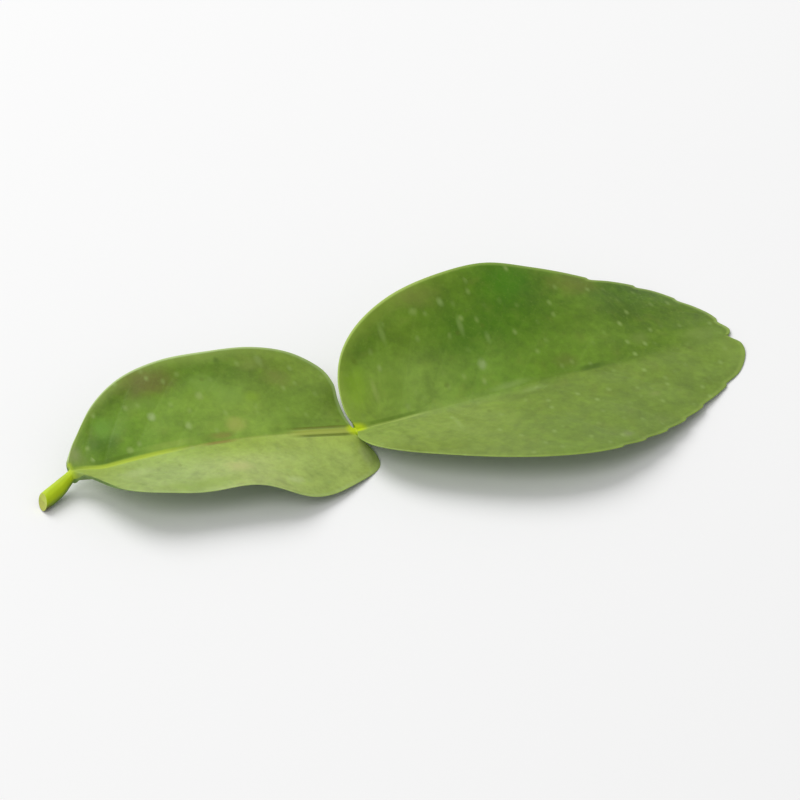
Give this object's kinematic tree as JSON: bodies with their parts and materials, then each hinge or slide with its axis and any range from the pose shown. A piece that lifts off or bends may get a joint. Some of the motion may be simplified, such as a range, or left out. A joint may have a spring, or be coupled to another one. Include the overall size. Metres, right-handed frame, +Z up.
{
  "type": "lemon leaf",
  "caption": "Fresh makrut lime leaf, also sold as a lemon leaf: an oval blade joined end to end with a broad winged petiole on a short stalk.",
  "frame": {"origin": "middle of the bottom of the leaf's box, on the surface it lies on", "axes": "+X along the leaf from its stalk to its apex, +Y towards its left half, +Z up from the surface, towards the upper face"},
  "size_m": [0.1052, 0.0388, 0.0118],
  "materials": {
    "lemon_leaf": "satin waxy green leaf, yellow-green on its stalk, node and midrib, paler and more matt underneath"
  },
  "bodies": {
    "root": {"lemon_leaf": "lemon_leaf"}
  },
  "joints": []
}
